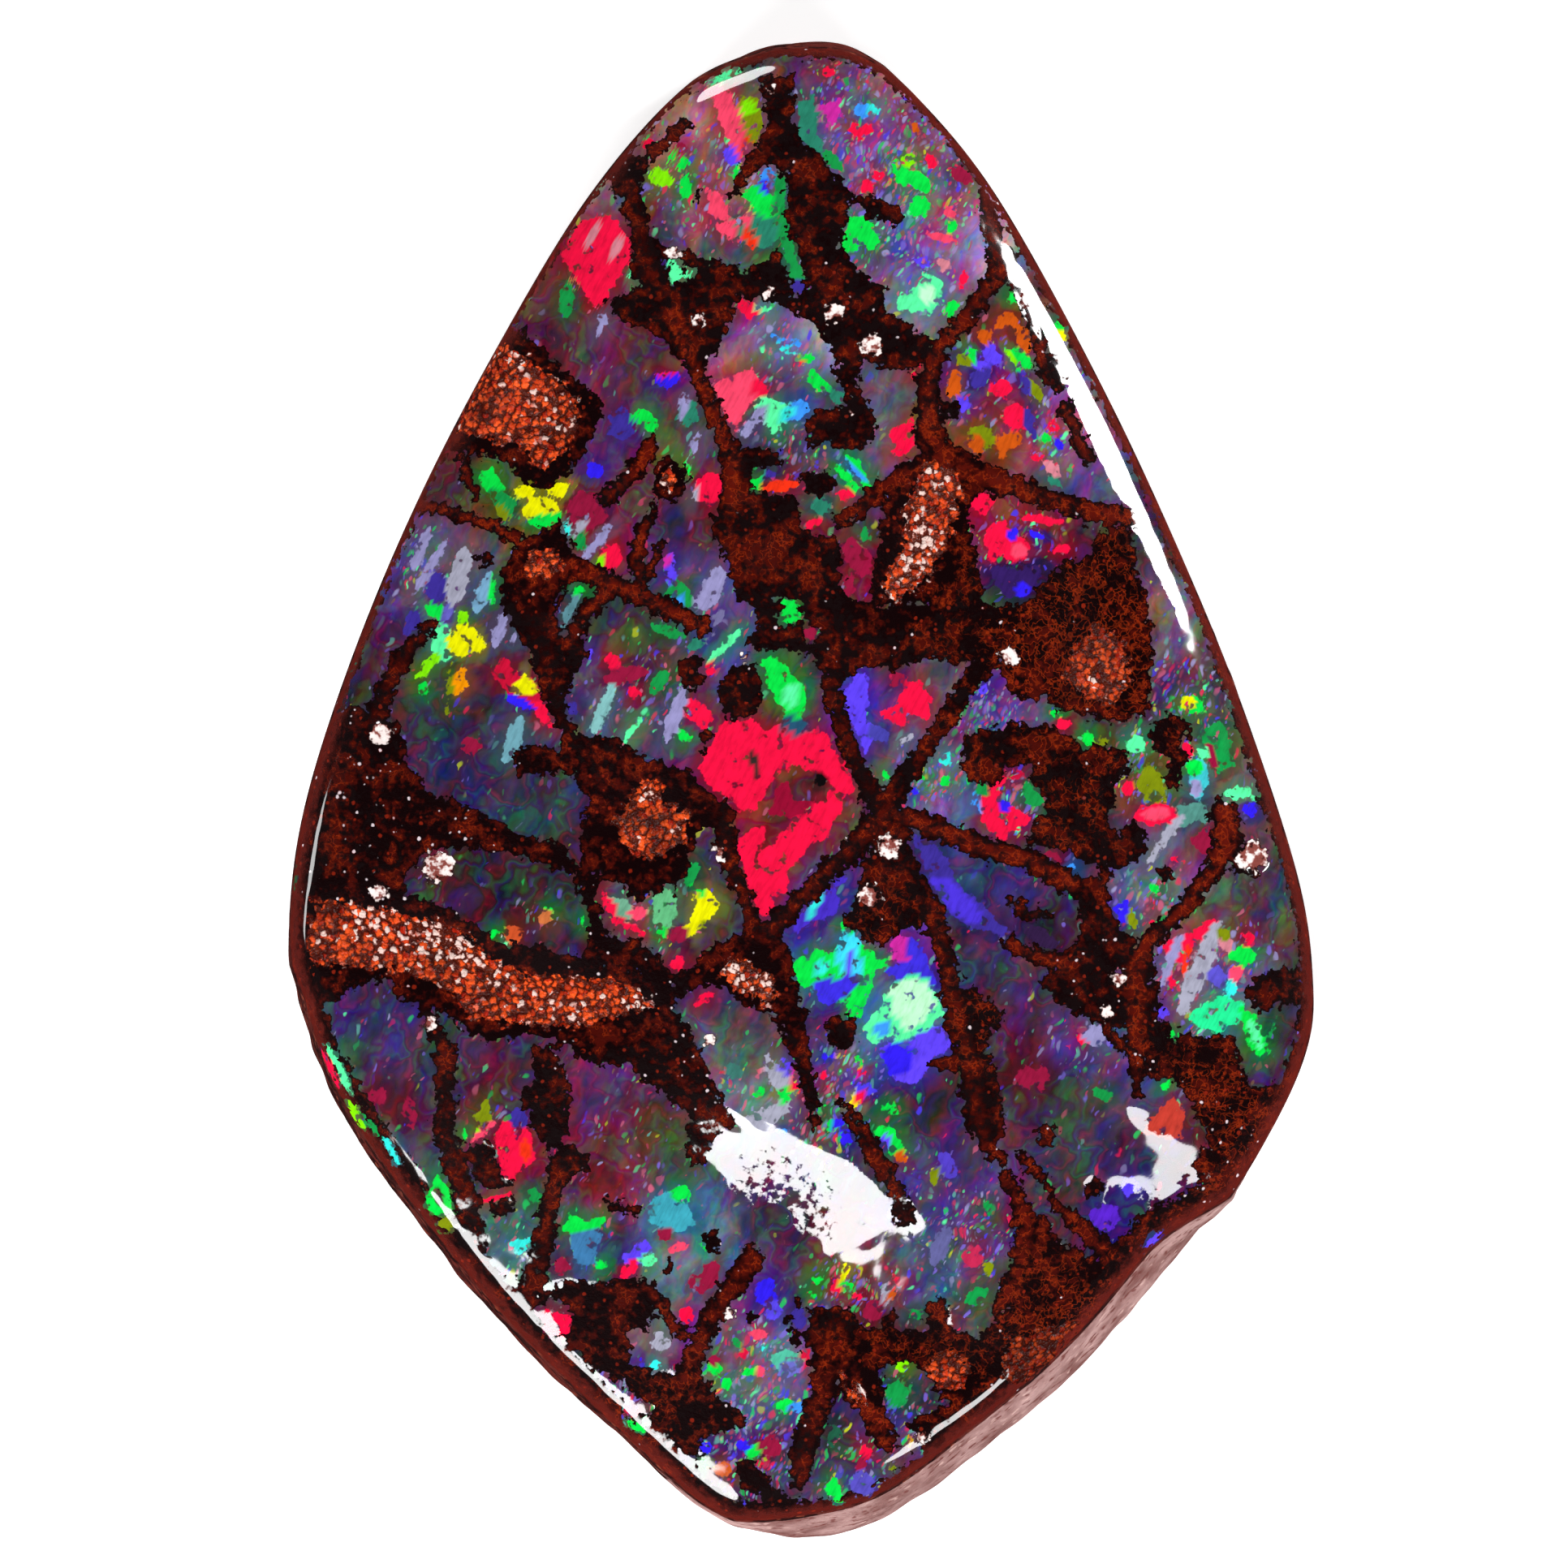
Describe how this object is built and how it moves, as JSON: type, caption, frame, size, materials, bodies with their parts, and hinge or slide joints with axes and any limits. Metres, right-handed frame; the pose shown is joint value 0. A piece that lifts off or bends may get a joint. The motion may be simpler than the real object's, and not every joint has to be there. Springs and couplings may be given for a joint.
{
  "type": "polished boulder opal",
  "caption": "Freeform boulder opal: a flat-backed kite-shaped stone with a low domed polished face and a coarsely ground side wall, for setting, drilling or display.",
  "frame": {"origin": "middle of the stone's bounding box, on its flat ground back", "axes": "+Z out of the polished face, +Y towards the narrow end, +X to the right as one looks at the face"},
  "size_m": [0.019, 0.028, 0.0045],
  "materials": {
    "ironstone_and_opal": null
  },
  "bodies": {
    "root": {"boulder_opal": "ironstone_and_opal"}
  },
  "joints": []
}
